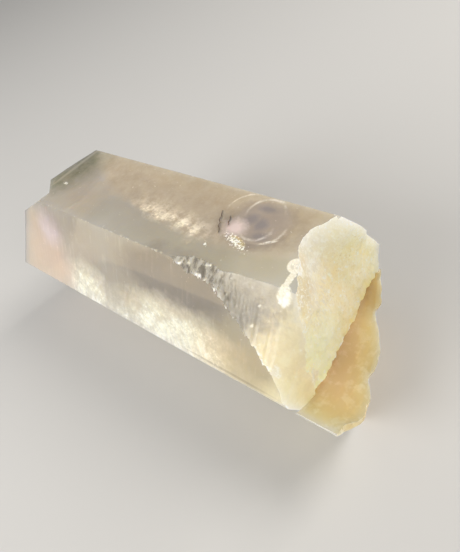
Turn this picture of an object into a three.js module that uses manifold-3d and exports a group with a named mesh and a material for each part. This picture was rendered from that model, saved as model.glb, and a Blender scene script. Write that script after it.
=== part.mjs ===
// A quartz crystal: one stubby six-sided prism, broken at both ends, lying on one of its prism faces.
//
// The crystal is modelled along +X, with the axis of its hexagonal section on the X axis, +Z up and
// -Y towards the viewer. The last step moves it so that the origin is at its bottom centre.

import * as THREE from 'three';
import { mergeVertices } from 'three/addons/utils/BufferGeometryUtils.js';
import Module from 'manifold-3d';

// ---------------------------------------------------------------------------------------------------
// Driving dimensions, in millimetres
// ---------------------------------------------------------------------------------------------------

// The hexagonal section: a regular hexagon of this side, but for its two lowest faces
const SIDE = 20;
const APOTHEM = (SIDE * Math.sqrt(3)) / 2;
const BOTTOM_APOTHEM = 16.4;
const LOWER_BACK_APOTHEM = 18;

// Far end: an old break, nearly square to the prism
const FAR_X = 6.4;
const FAR_LEAN_Y = 0.32;
const FAR_LEAN_Z = 0.16;
const FAR_RIPPLE = 0.12;
const FAR_RIPPLE_LENGTH = 7;

// Two leftover faces of the crystal's point, on the hidden side of the far end
const POINT_SLOPE = 38.2;
const POINT_LOWER_BACK_X = 17;
const POINT_BOTTOM_X = 9.5;

// Stepped chip out of the ridge at the far end: a sloping floor and a steep wall, which meet at BITE_INNER
const BITE_LOW = new THREE.Vector3(6.2, -11.6, 14.54);
const BITE_RIDGE = new THREE.Vector3(12, -10, APOTHEM);
const BITE_INNER = new THREE.Vector3(12.6, -7, APOTHEM);
const BITE_END = new THREE.Vector3(7.6, -2.4, APOTHEM);
const BITE_WALL_FOOT = new THREE.Vector3(10.4, -5.6, APOTHEM - 3);

// Near end, upper half: a frosted, slightly dished break that stands almost upright
const FROST_X = 85;
const FROST_LEAN_Y = -0.09;
const FROST_LEAN_Z = -0.11;
const DISH_DEPTH = 5;
const DISH_Y = 2.8;
const DISH_WIDTH = 6.4;
const DISH_HEIGHT = 11;
const SHOULDER_HEIGHT = 2.2;
const SHOULDER_Y = 12.5;
const SHOULDER_Z = 13.5;
const SHOULDER_SPREAD = 5;

// Near end, lower half: a smooth hollow ledge that stands out from under the frosted break
const LEDGE_DROP = 5.2;
const LEDGE_RISE = 0.05;

// Rim of that ledge and the hooked break below it
const RIM_X = 96;
const RIM_Y = -13;
const RIM_CURVE = 0.095;
const RIM_POWER = 1.4;
const RIM_NOTCHES = [
  { y: -17, width: 1.8, depth: 1 },
  { y: -6.5, width: 2.2, depth: 1.1 },
  { y: 6.5, width: 2.6, depth: 1.3 },
];
const HOOK_SLOPE = 0.42;
const HOOK_CURVE = 0.012;

// Shell-shaped scar along the ridge between the top face and the front face
const SCAR_START_X = 61;
const SCAR_END_X = 87;
const SCAR_WIDENING = 0.14;
const SCAR_DEPTH = 2.3;
const SCAR_LIP = 6.5;
const SCAR_CORNER_X = 80;
const SCAR_CORNER_CURVE = 0.22;

// Worn strip along the lower front edge, and a nick in the upper back edge
const STRIP_START_X = 59;
const STRIP_END_X = 98;
const STRIP_DEPTH = 0.5;
const NICK_X = 81.5;
const NICK_SIZE = 1.4;

// Everything that cuts reaches this far past the crystal
const MARGIN = 12;

// ---------------------------------------------------------------------------------------------------
// Solids
// ---------------------------------------------------------------------------------------------------

const wasm = await Module();
wasm.setup();

// Turns a closed three.js geometry into a solid that can be joined and cut
function solid(geometry) {
  const bare = geometry.index ? geometry.toNonIndexed() : geometry.clone();
  bare.deleteAttribute('normal');
  bare.deleteAttribute('uv');
  const merged = mergeVertices(bare, 1e-5);
  return new wasm.Manifold(
    new wasm.Mesh({
      numProp: 3,
      vertProperties: new Float32Array(merged.attributes.position.array),
      triVerts: new Uint32Array(merged.index.array),
    })
  );
}

// Turns a solid back into a three.js geometry
function geometryOf(body) {
  const mesh = body.getMesh();
  const geometry = new THREE.BufferGeometry();
  geometry.setAttribute('position', new THREE.BufferAttribute(new Float32Array(mesh.vertProperties), 3));
  geometry.setIndex(new THREE.BufferAttribute(new Uint32Array(mesh.triVerts), 1));
  return geometry;
}

// A block between two corners, divided into cells, with each of its points then moved by bend, which
// is told the point and how far across the block it lies in each direction, from 0 to 1
function bentBlock(low, high, cells, bend) {
  const size = new THREE.Vector3().subVectors(high, low);
  const geometry = new THREE.BoxGeometry(1, 1, 1, ...cells);
  geometry.translate(0.5, 0.5, 0.5);
  const position = geometry.attributes.position;
  const share = new THREE.Vector3();
  for (let i = 0; i < position.count; i++) {
    share.fromBufferAttribute(position, i);
    const point = share.clone().multiply(size).add(low);
    bend(point, share);
    position.setXYZ(i, point.x, point.y, point.z);
  }
  return solid(geometry);
}

// A large block that takes away all that lies outside the plane with this normal and offset
function planeCut(normal, offset) {
  const reach = 8 * SIDE;
  const geometry = new THREE.BoxGeometry(reach, reach, reach);
  geometry.translate(0, 0, reach / 2);
  const turn = new THREE.Quaternion().setFromUnitVectors(new THREE.Vector3(0, 0, 1), normal);
  geometry.applyQuaternion(turn);
  geometry.translate(normal.x * offset, normal.y * offset, normal.z * offset);
  return solid(geometry);
}

// ---------------------------------------------------------------------------------------------------
// The prism
// ---------------------------------------------------------------------------------------------------

// Prism faces in order around the section. An angle of 0 points at the viewer (-Y), and 90 points up.
const FACES = [
  { angle: -90, apothem: BOTTOM_APOTHEM },
  { angle: -150, apothem: LOWER_BACK_APOTHEM },
  { angle: 150, apothem: APOTHEM },
  { angle: 90, apothem: APOTHEM },
  { angle: 30, apothem: APOTHEM },
  { angle: -30, apothem: APOTHEM },
];

// Outward direction of a prism face, in the plane of the section (Y, Z)
function outward(angle) {
  const radians = THREE.MathUtils.degToRad(angle);
  return new THREE.Vector2(-Math.cos(radians), Math.sin(radians));
}

// The corner of the section where two neighbouring faces meet
function corner(face, next) {
  const a = outward(face.angle);
  const b = outward(next.angle);
  const cross = a.x * b.y - a.y * b.x;
  return new THREE.Vector2(
    (face.apothem * b.y - next.apothem * a.y) / cross,
    (next.apothem * a.x - face.apothem * b.x) / cross
  );
}

// The prism, from before the far end to past the near end
function prism() {
  const corners = FACES.map((face, i) => corner(face, FACES[(i + 1) % FACES.length]));
  const length = RIM_X + 2 * MARGIN;
  const geometry = new THREE.ExtrudeGeometry(new THREE.Shape(corners), { depth: length, bevelEnabled: false });
  const lay = new THREE.Matrix4().makeBasis(
    new THREE.Vector3(0, 1, 0),
    new THREE.Vector3(0, 0, 1),
    new THREE.Vector3(1, 0, 0)
  );
  geometry.applyMatrix4(lay);
  geometry.translate(-MARGIN, 0, 0);
  return solid(geometry);
}

// ---------------------------------------------------------------------------------------------------
// Far end
// ---------------------------------------------------------------------------------------------------

// The break's X at a point of the section, with faint ripples around a blow near its lower back
function farBreak(y, z) {
  const distance = Math.hypot(y - SIDE, z + APOTHEM);
  const ripple = FAR_RIPPLE * Math.cos((2 * Math.PI * distance) / FAR_RIPPLE_LENGTH);
  return FAR_X + FAR_LEAN_Y * y + FAR_LEAN_Z * z + ripple;
}

// What the far break took away
function farCut() {
  const half = SIDE + MARGIN / 2;
  const low = new THREE.Vector3(-2 * MARGIN, -half, -half);
  const high = new THREE.Vector3(0, half, half);
  return bentBlock(low, high, [1, 22, 22], (point, share) => {
    point.x = THREE.MathUtils.lerp(low.x, farBreak(point.y, point.z), share.x);
  });
}

// A face of the crystal's point: it slopes away from its prism face, which it leaves at startX
function pointFace(angle, apothem, startX) {
  const slope = THREE.MathUtils.degToRad(POINT_SLOPE);
  const side = outward(angle);
  const normal = new THREE.Vector3(-Math.sin(slope), Math.cos(slope) * side.x, Math.cos(slope) * side.y);
  const offset = Math.cos(slope) * apothem - Math.sin(slope) * startX;
  return planeCut(normal, offset);
}

// What lies outside the plane through three points, given anticlockwise as seen from outside
function outsideOf(a, b, c) {
  const plane = new THREE.Plane().setFromCoplanarPoints(a, b, c);
  return planeCut(plane.normal, -plane.constant);
}

// The chip out of the ridge
function bite() {
  const floor = outsideOf(BITE_LOW, BITE_RIDGE, BITE_INNER);
  const wall = outsideOf(BITE_INNER, BITE_END, BITE_WALL_FOOT);
  return floor.intersect(wall);
}

// ---------------------------------------------------------------------------------------------------
// Near end
// ---------------------------------------------------------------------------------------------------

// A smooth swelling, 1 in its middle and fading to nothing at about two widths from it
function swell(across, up = 0) {
  return Math.exp(-(across * across + up * up));
}

// The frosted break's X at a point of the section
function frostedBreak(y, z) {
  const dish = DISH_DEPTH * swell((y - DISH_Y) / DISH_WIDTH, (z - APOTHEM) / DISH_HEIGHT);
  const shoulder = SHOULDER_HEIGHT * swell((y - SHOULDER_Y) / SHOULDER_SPREAD, (z - SHOULDER_Z) / SHOULDER_SPREAD);
  return FROST_X + FROST_LEAN_Y * y + FROST_LEAN_Z * z - dish + shoulder;
}

// The height of the ledge: it rises to the front edge, which it meets level with the axis
function ledge(x, y) {
  const across = Math.min(0, y) / SIDE;
  return -LEDGE_DROP * (1 - across ** 4) + LEDGE_RISE * (x - FROST_X);
}

// What broke off above the ledge and in front of the frosted break
function upperCut() {
  const half = SIDE + MARGIN / 2;
  const low = new THREE.Vector3(FROST_X, -half, 0);
  const high = new THREE.Vector3(RIM_X + 2 * MARGIN, half, half);
  return bentBlock(low, high, [8, 26, 14], (point, share) => {
    point.z = THREE.MathUtils.lerp(ledge(point.x, point.y), high.z, share.z);
    point.x = THREE.MathUtils.lerp(frostedBreak(point.y, point.z), high.x, share.x);
  });
}

// The rim's X, with its shell-shaped notches, and the hooked break that falls back below it
function rimBreak(y, z) {
  let x = RIM_X - RIM_CURVE * Math.abs(y - RIM_Y) ** RIM_POWER;
  for (const notch of RIM_NOTCHES) {
    x -= notch.depth * swell((y - notch.y) / notch.width);
  }
  const above = Math.max(0, z);
  const below = Math.max(0, -LEDGE_DROP - z);
  return x + 2 * above - HOOK_SLOPE * below + HOOK_CURVE * below * below;
}

// What broke off past the rim
function lowerCut() {
  const half = SIDE + MARGIN / 2;
  const low = new THREE.Vector3(0, -half, -half);
  const high = new THREE.Vector3(RIM_X + 2 * MARGIN, half, half);
  return bentBlock(low, high, [1, 34, 16], (point, share) => {
    point.x = THREE.MathUtils.lerp(rimBreak(point.y, point.z), high.x, share.x);
  });
}

// ---------------------------------------------------------------------------------------------------
// Scar, worn strip and nick
// ---------------------------------------------------------------------------------------------------

// The scar on the front face. It is made in the face's own frame, where X still runs along the
// crystal, Y runs up the face from its middle, and Z stands out of it.
function scar() {
  const low = new THREE.Vector3(SCAR_START_X, -SIDE, 0);
  const high = new THREE.Vector3(SCAR_END_X, SIDE, MARGIN);
  const body = bentBlock(low, high, [20, 24, 1], (point, share) => {
    const lowerEdge = SIDE / 2 - SCAR_WIDENING * (point.x - SCAR_START_X) ** 1.5;
    const inside = 1 - Math.exp((lowerEdge - point.y) / SCAR_LIP);
    const belowRidge = 0.5 - point.y / SIDE;
    const corner = SCAR_CORNER_CURVE * belowRidge * Math.max(0, point.x - SCAR_CORNER_X) ** 2;
    const depth = (SCAR_DEPTH + corner) * inside;
    point.z = THREE.MathUtils.lerp(Math.min(-depth, MARGIN / 2), high.z, share.z);
  });
  const face = new THREE.Matrix4().makeRotationX(THREE.MathUtils.degToRad(60));
  face.setPosition(0, outward(30).x * APOTHEM, outward(30).y * APOTHEM);
  return body.transform(face.elements);
}

// The worn strip: a shallow plane that takes more of the lower front edge towards the near end
function wornStrip() {
  const fall = STRIP_DEPTH / (STRIP_END_X - STRIP_START_X);
  const normal = new THREE.Vector3(fall, -1, 0).normalize();
  const offset = normal.dot(new THREE.Vector3(STRIP_START_X, -SIDE, 0));
  return planeCut(normal, offset);
}

// The nick: a corner of a small block, let into the upper back edge
function nick() {
  const geometry = new THREE.BoxGeometry(NICK_SIZE, NICK_SIZE, NICK_SIZE);
  geometry.rotateZ(Math.PI / 4);
  geometry.rotateY(Math.PI / 5);
  geometry.translate(NICK_X, SIDE / 2, APOTHEM);
  return solid(geometry);
}

// ---------------------------------------------------------------------------------------------------
// The crystal
// ---------------------------------------------------------------------------------------------------

const body = prism()
  .subtract(farCut())
  .subtract(pointFace(-150, LOWER_BACK_APOTHEM, POINT_LOWER_BACK_X))
  .subtract(pointFace(-90, BOTTOM_APOTHEM, POINT_BOTTOM_X))
  .subtract(bite())
  .subtract(upperCut())
  .subtract(lowerCut())
  .subtract(scar())
  .subtract(wornStrip())
  .subtract(nick());

const geometry = geometryOf(body);
geometry.computeBoundingBox();
const box = geometry.boundingBox;
geometry.translate(-(box.min.x + box.max.x) / 2, -(box.min.y + box.max.y) / 2, -box.min.z);
geometry.computeVertexNormals();

const material = new THREE.MeshStandardMaterial({ color: 0xe3d6b8, roughness: 0.15, metalness: 0 });
const crystal = new THREE.Mesh(geometry, material);
crystal.name = 'quartz_crystal';

const group = new THREE.Group();
group.add(crystal);

export default group;
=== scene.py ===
import math
import random

import bmesh
import bpy
import numpy as np
from mathutils import Matrix, Quaternion, Vector, noise


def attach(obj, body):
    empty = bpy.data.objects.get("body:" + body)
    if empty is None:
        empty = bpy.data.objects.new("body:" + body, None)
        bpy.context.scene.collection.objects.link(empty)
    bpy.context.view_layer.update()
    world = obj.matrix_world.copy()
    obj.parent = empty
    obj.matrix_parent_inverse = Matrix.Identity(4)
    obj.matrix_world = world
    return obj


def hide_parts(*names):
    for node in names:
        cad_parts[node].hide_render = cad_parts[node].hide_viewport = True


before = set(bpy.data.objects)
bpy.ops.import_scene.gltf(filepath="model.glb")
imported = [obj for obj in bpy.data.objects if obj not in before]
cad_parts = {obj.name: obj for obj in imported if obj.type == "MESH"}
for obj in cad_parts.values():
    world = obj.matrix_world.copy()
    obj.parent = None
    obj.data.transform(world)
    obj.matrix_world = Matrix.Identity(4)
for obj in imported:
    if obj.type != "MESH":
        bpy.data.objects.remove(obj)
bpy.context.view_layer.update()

# ------------------------------------------------------------
# The prism
# The body of the crystal is one hexagonal prism of quartz that grew along X. Its long ridges are worn
# to a hair-thin flat. All shapes are made in millimetres around the prism's own axis, and move into
# the frame at the end.
# ------------------------------------------------------------
SIDE = 20.0
APOTHEM = SIDE * math.sqrt(3) / 2
BOTTOM_APOTHEM = 16.4
PRISM_FACES = [
    (-90, BOTTOM_APOTHEM),
    (-150, 18.0),
    (150, APOTHEM),
    (90, APOTHEM),
    (30, APOTHEM),
    (-30, APOTHEM),
]
RIDGE_WEAR = 0.11
PRISM_START = -12.0
PRISM_END = 120.0
# The kinds of surface that the stone shows
GROWN, OLD_BREAK, FROSTED, AMBER, HOOK, SCAR, CHIP, WORN, FISSURE = range(9)


def outward(angle):
    """Direction out of a prism face: 0 degrees is towards -Y, and 90 is up."""
    radians = math.radians(angle)
    return Vector((0, -math.cos(radians), math.sin(radians)))


def section_corner(face, next_face):
    """The corner of the section where two faces meet."""
    a, b = outward(face[0]), outward(next_face[0])
    cross = a.y * b.z - a.z * b.y
    y = (face[1] * b.z - next_face[1] * a.z) / cross
    z = (next_face[1] * a.y - face[1] * b.y) / cross
    return Vector((0, y, z))


def new_object(name, data):
    """A mesh, lamp or camera as an object in the scene."""
    thing = bpy.data.objects.new(name, data)
    bpy.context.scene.collection.objects.link(thing)
    return thing


def loft(name, rings, kinds):
    """A closed mesh object through rings of points, with a kind of surface along each ring's points."""
    count = len(rings[0])
    points = [p for ring in rings for p in ring]
    quads = []
    for r in range(len(rings) - 1):
        for i in range(count):
            j = (i + 1) % count
            quads.append((r * count + i, r * count + j, (r + 1) * count + j, (r + 1) * count + i))
    first_cap = tuple(range(count))[::-1]
    last_cap = tuple((len(rings) - 1) * count + i for i in range(count))
    mesh = bpy.data.meshes.new(name)
    mesh.from_pydata(points, [], quads + [first_cap, last_cap])
    surface = mesh.attributes.new("surface", "INT", "FACE")
    along = kinds if isinstance(kinds, list) else [kinds] * count
    surface.data.foreach_set("value", along * (len(rings) - 1) + [along[0]] * 2)
    bm = bmesh.new()
    bm.from_mesh(mesh)
    bmesh.ops.recalc_face_normals(bm, faces=bm.faces)
    bm.to_mesh(mesh)
    bm.free()
    return new_object(name, mesh)


corners = [section_corner(f, PRISM_FACES[(i + 1) % 6]) for i, f in enumerate(PRISM_FACES)]
worn_section = []
for i, here in enumerate(corners):
    before, after = corners[i - 1], corners[(i + 1) % 6]
    worn_section.append(here + (before - here).normalized() * RIDGE_WEAR)
    worn_section.append(here + (after - here).normalized() * RIDGE_WEAR)
crystal = loft(
    "quartz_crystal_body",
    [[Vector((x, p.y, p.z)) for p in worn_section] for x in (PRISM_START, PRISM_END)],
    [WORN, GROWN] * 6,
)

# ------------------------------------------------------------
# Worn edges and pits
# Years of knocks took small shell-shaped bites and a nick out of the long edges, crushed a few spots
# on the top face and opened two short cracks in it. All are cut while the prism is still whole.
# ------------------------------------------------------------
def cut_away(cutters):
    """Takes the cutters out of the crystal, one after another."""
    for cutter in cutters:
        cut = crystal.modifiers.new("cut", "BOOLEAN")
        cut.operation = "DIFFERENCE"
        cut.solver = "MANIFOLD"
        cut.object = cutter
        with bpy.context.temp_override(object=crystal, active_object=crystal):
            bpy.ops.object.modifier_apply(modifier=cut.name)
        bpy.data.objects.remove(cutter)


def flake_bite(seat, out, along, long, wide, deep):
    """A shell-shaped bite, for a place on the surface and the direction out of the stone there."""
    side = out.cross(along)
    bite = bmesh.new()
    bmesh.ops.create_icosphere(bite, subdivisions=1, radius=1)
    for vert in bite.verts:
        v = vert.co * (1 + 0.16 * noise.noise(vert.co * 2.3 + seat))
        vert.co = seat + along * (v.x * long) + side * (v.y * wide) + out * (v.z * wide + wide - deep)
    mesh = bpy.data.meshes.new("bite")
    bite.to_mesh(mesh)
    bite.free()
    surface = mesh.attributes.new("surface", "INT", "FACE")
    surface.data.foreach_set("value", [CHIP] * len(mesh.polygons))
    return new_object("bite", mesh)


# Stretches of each edge of the prism, with how many bites they have and the longest
EDGE_BITES = [
    (corners[2], 28, 34, 2, 0.3), (corners[2], 50.2, 52, 4, 0.45), (corners[2], 62, 76, 4, 0.25),
    (corners[2], 80.2, 81, 2, 0.7),
    (corners[3], 13, 33, 6, 0.5), (corners[3], 36.6, 40.2, 5, 0.5), (corners[3], 42.2, 45.2, 4, 0.7),
    (corners[3], 47.3, 48.6, 2, 0.7), (corners[3], 49.5, 60.5, 9, 1.0), (corners[4], 20, 84, 14, 0.35),
    (corners[5], 14, 88, 16, 0.6), (corners[0], 16, 84, 16, 0.8), (corners[1], 18, 84, 18, 0.9),
]
# Crushed stretches of the top face, from one point to another: width, number of pits and the longest
CRUSHED = [
    ((79.8, -1.0), (80.6, -2.8), 0.5, 14, 0.7), ((80.8, -3.0), (80.6, -7.5), 0.25, 10, 0.45),
    ((80.2, -7.4), (80.8, -9.2), 0.5, 14, 0.7), ((64.8, -1.6), (69.4, -3.2), 0.45, 26, 0.35),
    ((61.0, -4.2), (62.3, -5.2), 0.04, 5, 0.3), ((13.4, -2.2), (14.8, -2.8), 0.1, 4, 0.3),
    ((50.0, -4.0), (78.0, -6.5), 1.3, 10, 0.2),
]
random.seed(5)
up, lengthwise = Vector((0, 0, 1)), Vector((1, 0, 0))
nick_seat = Vector((81.3, corners[2].y, corners[2].z))
bites = [flake_bite(nick_seat, Vector((0, 0.5, 0.87)), lengthwise, 0.45, 1.3, 0.8)]
for edge, first, last, count, longest in EDGE_BITES:
    out = Vector((0, edge.y, edge.z)).normalized()
    for _ in range(count):
        long = longest * random.uniform(0.35, 1.0)
        seat = Vector((random.uniform(first, last), edge.y, edge.z))
        wide = long * random.uniform(0.6, 1.2)
        bites.append(flake_bite(seat, out, lengthwise, long, wide, long * 0.22 + 0.10))
for start, end, width, count, longest in CRUSHED:
    for _ in range(count):
        along = Vector((*start, APOTHEM)).lerp(Vector((*end, APOTHEM)), random.random())
        seat = along + Vector((random.gauss(0, width), random.gauss(0, width), 0))
        turned = Quaternion(up, random.uniform(-1.5, 1.5)) @ lengthwise
        long = longest * random.uniform(0.35, 1.0)
        bites.append(flake_bite(seat, up, turned, long, long * random.uniform(0.4, 0.8), long * 0.25))

# Two short open cracks, as jagged lines on the top face: points along the line, and the width
OPEN_CRACKS = [
    (
        [
            (59.6, 3.7), (60.0, 2.7), (60.5, 2.2), (60.4, 1.4),
            (61.2, 0.7), (61.3, -0.1), (62.0, -0.6), (62.4, -1.5),
        ],
        0.13,
    ),
    ([(62.0, 3.0), (62.5, 2.2), (62.5, 1.7), (63.2, 0.8)], 0.09),
]
for line, width in OPEN_CRACKS:
    rings = []
    for i, (x, y) in enumerate(line):
        half = 0.5 * width * (0.25 + 0.75 * math.sin(math.pi * (i + 0.4) / (len(line) - 0.2)))
        ring = [(-half, 0.4), (half, 0.4), (half, -0.15), (0.05, -0.7), (-half, -0.15)]
        rings.append([Vector((x + out, y + 0.5 * out, APOTHEM + height)) for out, height in ring])
    bites.append(loft("open_crack", rings, FISSURE))
cut_away(bites)

# ------------------------------------------------------------
# The far end
# The far end is an old break, nearly square to the prism, with two leftovers of the crystal's point on
# its hidden side and a stepped chip out of the ridge.
# ------------------------------------------------------------
FAR_X = 6.4
FAR_LEAN_Y = 0.32
FAR_LEAN_Z = 0.16
FAR_RIPPLE = 0.12
FAR_RIPPLE_LENGTH = 7.0
POINT_SLOPE = 38.2
POINT_FACES = [(-150, 18.0, 17.0), (-90, BOTTOM_APOTHEM, 9.5)]
CUT_REACH = 24.0
FAR_STEP = 0.6


def spread(low, high, step):
    """Evenly spaced values from low to high, about a step apart."""
    return list(np.linspace(low, high, max(2, round((high - low) / step) + 1)))


def plane_cutter(normal, offset, kind):
    """A large block that fills what lies outside a plane."""
    reach = 160.0
    turn = Vector((0, 0, 1)).rotation_difference(normal)
    rings = []
    for height in (0, reach):
        ring = [Vector((u * reach, v * reach, height)) for u, v in ((-1, -1), (1, -1), (1, 1), (-1, 1))]
        rings.append([turn @ p + normal * offset for p in ring])
    return loft("plane_cutter", rings, kind)


def far_break(y, z):
    """The old break's X, with faint ripples around the blow that made it."""
    distance = math.hypot(y - SIDE, z + APOTHEM)
    ripple = FAR_RIPPLE * math.cos(2 * math.pi * distance / FAR_RIPPLE_LENGTH)
    grain = 0.10 * noise.noise(Vector((y, z, 3)) * 0.35) + 0.03 * noise.noise(Vector((y, z, 7)) * 1.3)
    return FAR_X + FAR_LEAN_Y * y + FAR_LEAN_Z * z + ripple + grain


far_rings = []
for y in spread(-CUT_REACH, CUT_REACH, FAR_STEP):
    wall = [Vector((far_break(y, z), y, z)) for z in spread(-CUT_REACH, CUT_REACH, FAR_STEP)]
    behind = [Vector((-CUT_REACH, y, CUT_REACH)), Vector((-CUT_REACH, y, -CUT_REACH))]
    far_rings.append(wall + behind)
cutters = [loft("far_break", far_rings, OLD_BREAK)]

slope = math.radians(POINT_SLOPE)
for angle, apothem, start_x in POINT_FACES:
    normal = outward(angle) * math.cos(slope) + Vector((-math.sin(slope), 0, 0))
    cutters.append(plane_cutter(normal, math.cos(slope) * apothem - math.sin(slope) * start_x, GROWN))

# The stepped chip has a sloping floor and a steep wall
CHIP_LOW = Vector((6.2, -11.6, 14.54))
CHIP_RIDGE = Vector((12, -10, APOTHEM))
CHIP_INNER = Vector((12.6, -7, APOTHEM))
CHIP_END = Vector((7.6, -2.4, APOTHEM))
CHIP_WALL_FOOT = Vector((10.4, -5.6, APOTHEM - 3))


def outside_of(a, b, c):
    """A block that fills what lies outside the plane through three points."""
    normal = (b - a).cross(c - b).normalized()
    return plane_cutter(normal, normal.dot(a), CHIP)


chip = outside_of(CHIP_LOW, CHIP_RIDGE, CHIP_INNER)
chip_wall = outside_of(CHIP_INNER, CHIP_END, CHIP_WALL_FOOT)
meet = chip.modifiers.new("meet", "BOOLEAN")
meet.operation = "INTERSECT"
meet.solver = "MANIFOLD"
meet.object = chip_wall
with bpy.context.temp_override(object=chip, active_object=chip):
    bpy.ops.object.modifier_apply(modifier="meet")
bpy.data.objects.remove(chip_wall)
cutters.append(chip)
cut_away(cutters)

# ------------------------------------------------------------
# The near end
# The upper half broke off in a rough frosted face that stands almost upright and is hollowed at the
# top. The lower half stands out from under it as a smooth amber ledge with a shell-shaped rim, and
# falls back below the rim.
# ------------------------------------------------------------
FROST_X = 85.0
FROST_LEAN_Y = -0.09
FROST_LEAN_Z = -0.11
DISH_DEPTH, DISH_Y, DISH_WIDTH, DISH_HEIGHT = 5.0, 2.8, 6.4, 11.0
SHOULDER_HEIGHT, SHOULDER_Y, SHOULDER_Z, SHOULDER_SPREAD = 2.2, 12.5, 13.5, 5.0
LEDGE_DROP = 5.2
LEDGE_RISE = 0.05
RIM_X, RIM_Y, RIM_CURVE, RIM_POWER = 96.0, -13.0, 0.095, 1.4
RIM_NOTCHES = [(-17.0, 1.8, 1.0), (-6.5, 2.2, 1.1), (6.5, 2.6, 1.3)]
HOOK_SLOPE, HOOK_CURVE = 0.42, 0.012


def swell(across, up=0.0):
    """A smooth swelling, 1 in its middle."""
    return math.exp(-(across * across + up * up))


def clamped(value):
    """A value kept between 0 and 1."""
    return min(1.0, max(0.0, value))


def frosted_break(y, z):
    """The frosted break's X: hollow at the top, with a shoulder, and rough all over."""
    dish = DISH_DEPTH * swell((y - DISH_Y) / DISH_WIDTH, (z - APOTHEM) / DISH_HEIGHT)
    shoulder = SHOULDER_HEIGHT * swell(
        (y - SHOULDER_Y) / SHOULDER_SPREAD, (z - SHOULDER_Z) / SHOULDER_SPREAD
    )
    lumps = 0.55 * noise.fractal(Vector((y * 0.16, z * 0.16, 5)), 0.9, 2.1, 3)
    fold = 0.5 * abs(noise.noise(Vector((y * 0.30 - z * 0.06, z * 0.07, 14)))) + 0.25 * abs(
        noise.noise(Vector((y * 0.75 - z * 0.12, z * 0.15, 15)))
    )
    grain = 0.22 * noise.fractal(Vector((y * 0.9, z * 0.6, 9)), 0.6, 2.2, 4)
    return FROST_X + FROST_LEAN_Y * y + FROST_LEAN_Z * z - dish + shoulder + lumps + grain - fold


def ledge(x, y):
    """The ledge's height: smooth, and rising to meet the front edge level with the axis."""
    across = min(0.0, y) / SIDE
    wave = 0.35 * math.sin(0.42 * x + 0.25 * y) * clamped((x - FROST_X) / 4)
    to_rim = RIM_X - RIM_CURVE * abs(y - RIM_Y) ** RIM_POWER - x
    ripple = 0.16 * swell((to_rim - 2.5) / 2.5) * math.cos(2 * math.pi * to_rim / 1.7 + 0.3 * y)
    fold = 0.30 * swell((x + 0.46 * y - 89.3) / 0.5) * clamped(-y / 4)
    inside = 1 - across**4
    return -LEDGE_DROP * inside + LEDGE_RISE * (x - FROST_X) + (wave + ripple + fold) * inside


def rim_break(y, z):
    """The rim's X with its notches, and the hooked break that falls back below it."""
    x = RIM_X - RIM_CURVE * abs(y - RIM_Y) ** RIM_POWER
    for notch_y, width, depth in RIM_NOTCHES:
        x -= depth * swell((y - notch_y) / width)
    coarse = noise.noise(Vector((y * 0.55, z * 0.12, 2)))
    fine = noise.noise(Vector((y * 1.7, z * 0.5, 4)))
    x += 0.35 * coarse + 0.10 * fine
    above = max(0.0, z)
    below = max(0.0, -LEDGE_DROP - z)
    return x + 2 * above - HOOK_SLOPE * below + HOOK_CURVE * below * below


WALL_STEPS, LEDGE_STEPS = 90, 50
upper_rings = []
for y in spread(-CUT_REACH, CUT_REACH, 0.32):
    foot = ledge(FROST_X, y)
    wall = [Vector((frosted_break(y, z), y, z)) for z in np.linspace(CUT_REACH, foot, WALL_STEPS + 1)]
    out = np.linspace(frosted_break(y, foot), PRISM_END, LEDGE_STEPS + 1)[1:]
    floor_line = [Vector((x, y, ledge(x, y))) for x in out]
    upper_rings.append(wall + floor_line + [Vector((PRISM_END, y, CUT_REACH))])
lower_rings = []
for y in spread(-CUT_REACH, CUT_REACH, 0.4):
    wall = [Vector((rim_break(y, z), y, z)) for z in spread(CUT_REACH, -CUT_REACH, -0.6)]
    past = PRISM_END + 60
    lower_rings.append(wall + [Vector((past, y, -CUT_REACH)), Vector((past, y, CUT_REACH))])
upper_kinds = [FROSTED] * WALL_STEPS + [AMBER] * (len(upper_rings[0]) - WALL_STEPS)
cut_away([loft("frosted_break", upper_rings, upper_kinds), loft("rim_break", lower_rings, HOOK)])

# ------------------------------------------------------------
# Scar and worn strip
# A blow at the near end flaked a long shell-shaped scar off the front ridge, which starts as a torn
# groove along the ridge. The lower front edge is worn to a narrow strip.
# ------------------------------------------------------------
SCAR_START_X, SCAR_SPREAD_X, SCAR_END_X = 56.5, 61.0, 86.8
SCAR_WIDENING = 0.150
SCAR_DEPTH = 2.3
SCAR_LIP = 6.5
SCAR_CORNER_X = 80.0
SCAR_CORNER_CURVE = 0.22
SCAR_CORNER_WIDENING = 0.25
HACKLE_X, HACKLE_LENGTH, HACKLE_WIDTH, HACKLE_DEPTH = 63.5, 8.5, 3.0, 0.8
STRIP_START_X, STRIP_END_X, STRIP_DEPTH = 59.0, 98.0, 0.5

front_out = outward(30)
front_up = Vector((0, front_out.z, -front_out.y))


def scar_lower_edge(x):
    """How far up the front face the scar begins."""
    edge = SIDE / 2 - 0.2 * max(0.0, min(x, SCAR_SPREAD_X) - SCAR_START_X)
    edge -= SCAR_WIDENING * max(0.0, x - SCAR_SPREAD_X) ** 1.5
    edge -= SCAR_CORNER_WIDENING * max(0.0, x - SCAR_CORNER_X - 2) ** 2
    edge += 1.0 * noise.noise(Vector((x * 0.3, 1, 31))) + 0.6 * noise.noise(Vector((x * 1.1, 2, 33)))
    return edge + 0.35 * noise.noise(Vector((x * 2.9, 3, 35)))


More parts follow.
